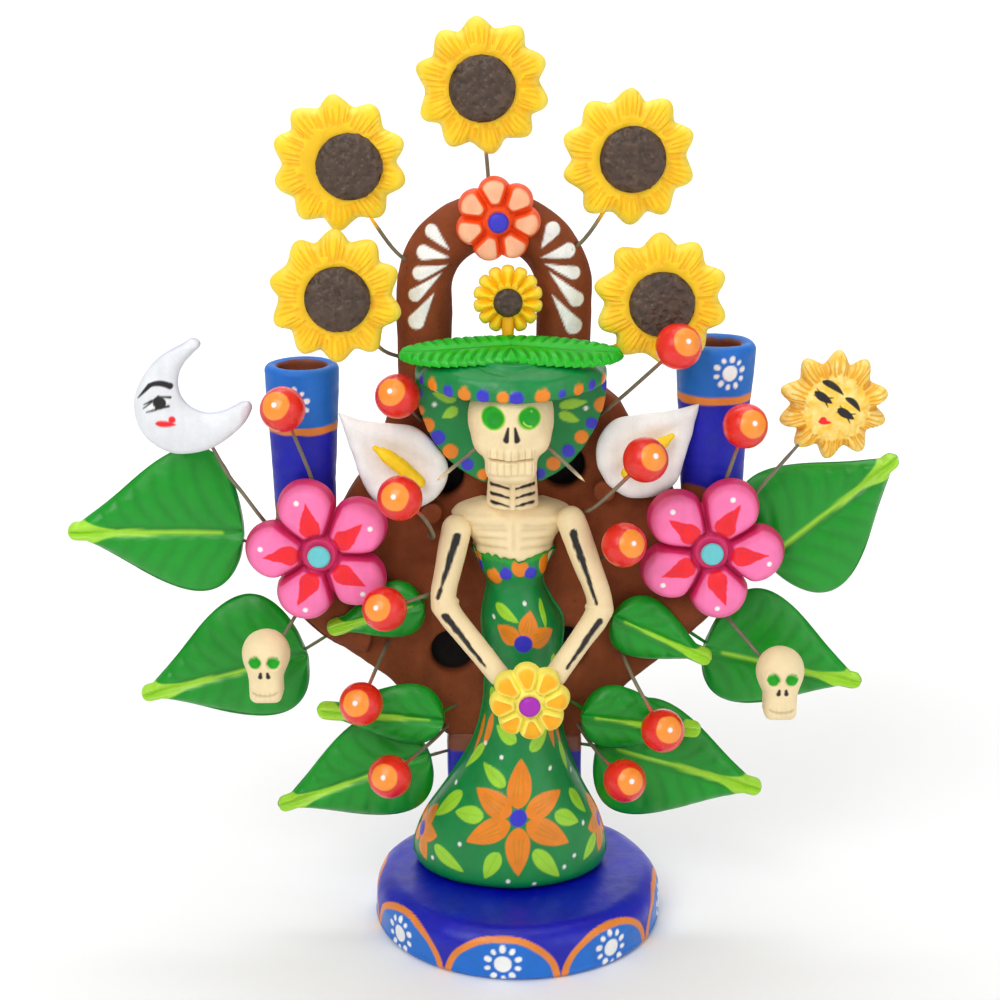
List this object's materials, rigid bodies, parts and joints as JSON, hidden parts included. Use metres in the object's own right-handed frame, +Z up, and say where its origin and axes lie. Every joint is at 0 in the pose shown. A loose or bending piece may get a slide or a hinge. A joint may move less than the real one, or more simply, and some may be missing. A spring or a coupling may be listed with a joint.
{
  "type": "clay tree of life",
  "caption": "Painted clay tree of life: a catrina figure on a round base before an arched tree with two candle cups, flowers, leaves, berries, a sun and a moon on wires.",
  "frame": {"origin": "centre of the underside of the round base", "axes": "+Z up, the figure faces -Y, +X to the viewer's right when facing the figure"},
  "size_m": [0.2724, 0.098, 0.303],
  "materials": {
    "base_blue": "matt ultramarine paint on fired clay",
    "terracotta": "bare fired clay, matt",
    "cup_blue": "matt blue paint in two tones with an orange band",
    "dress_green": "satin emerald paint with painted flowers",
    "bone": "satin cream paint on fired clay",
    "hat_leaf": "satin bright green paint",
    "sunflower_yellow": "satin yellow paint, paler at the petal edges",
    "seed_brown": "rough matt brown paint",
    "bouquet_yellow": "satin yellow petals with pale outlines",
    "purple": "satin purple paint",
    "wire": "dull galvanised wire, painted near some ornaments",
    "arch_petal": "satin orange-red edges with peach petals",
    "violet_blue": "satin blue paint",
    "pink": "satin pink paint, deep pink in the grooves",
    "turquoise": "satin turquoise paint",
    "white": "satin white paint",
    "yellow": "satin yellow paint",
    "sun_face": "yellow paint dry-brushed with white",
    "leaf_green": "satin green paint with a lime midrib",
    "berry_red": "satin red paint with an orange disc and a white dot"
  },
  "bodies": {
    "root": {"base": "base_blue", "trunk": "base_blue", "tree_body": "terracotta", "arch": "terracotta", "branch_left": "terracotta", "branch_right": "terracotta", "candle_cup_left": "cup_blue", "candle_cup_right": "cup_blue", "dress": "dress_green", "torso": "bone", "arm_left": "bone", "arm_right": "bone", "neck": "bone", "skull": "bone", "hat": "dress_green", "hat_leaf_left": "hat_leaf", "hat_leaf_right": "hat_leaf", "hat_sunflower": "sunflower_yellow", "hat_sunflower_center": "seed_brown", "bouquet_flower": "bouquet_yellow", "bouquet_center": "purple", "cheek_wires": "wire", "sunflower_top": "sunflower_yellow", "sunflower_upper_left": "sunflower_yellow", "sunflower_upper_right": "sunflower_yellow", "sunflower_lower_left": "sunflower_yellow", "sunflower_lower_right": "sunflower_yellow", "sunflower_centers": "seed_brown", "arch_flower": "arch_petal", "arch_flower_center": "violet_blue", "pink_flower_left": "pink", "pink_flower_right": "pink", "pink_flower_centers": "turquoise", "calla_left": "white", "calla_right": "white", "calla_spadices": "yellow", "calla_pegs": "terracotta", "moon": "white", "sun": "sun_face", "leaf_left_upper": "leaf_green", "leaf_left_middle": "leaf_green", "leaf_left_lower": "leaf_green", "leaf_left_front": "leaf_green", "leaf_left_inner": "leaf_green", "leaf_right_upper": "leaf_green", "leaf_right_middle": "leaf_green", "leaf_right_lower": "leaf_green", "leaf_right_front": "leaf_green", "leaf_right_inner": "leaf_green", "berries": "berry_red", "small_skull_left": "bone", "small_skull_right": "bone", "sunflower_wires": "wire", "leaf_wires": "wire", "berry_wires": "wire", "ornament_wires": "wire"}
  },
  "joints": []
}
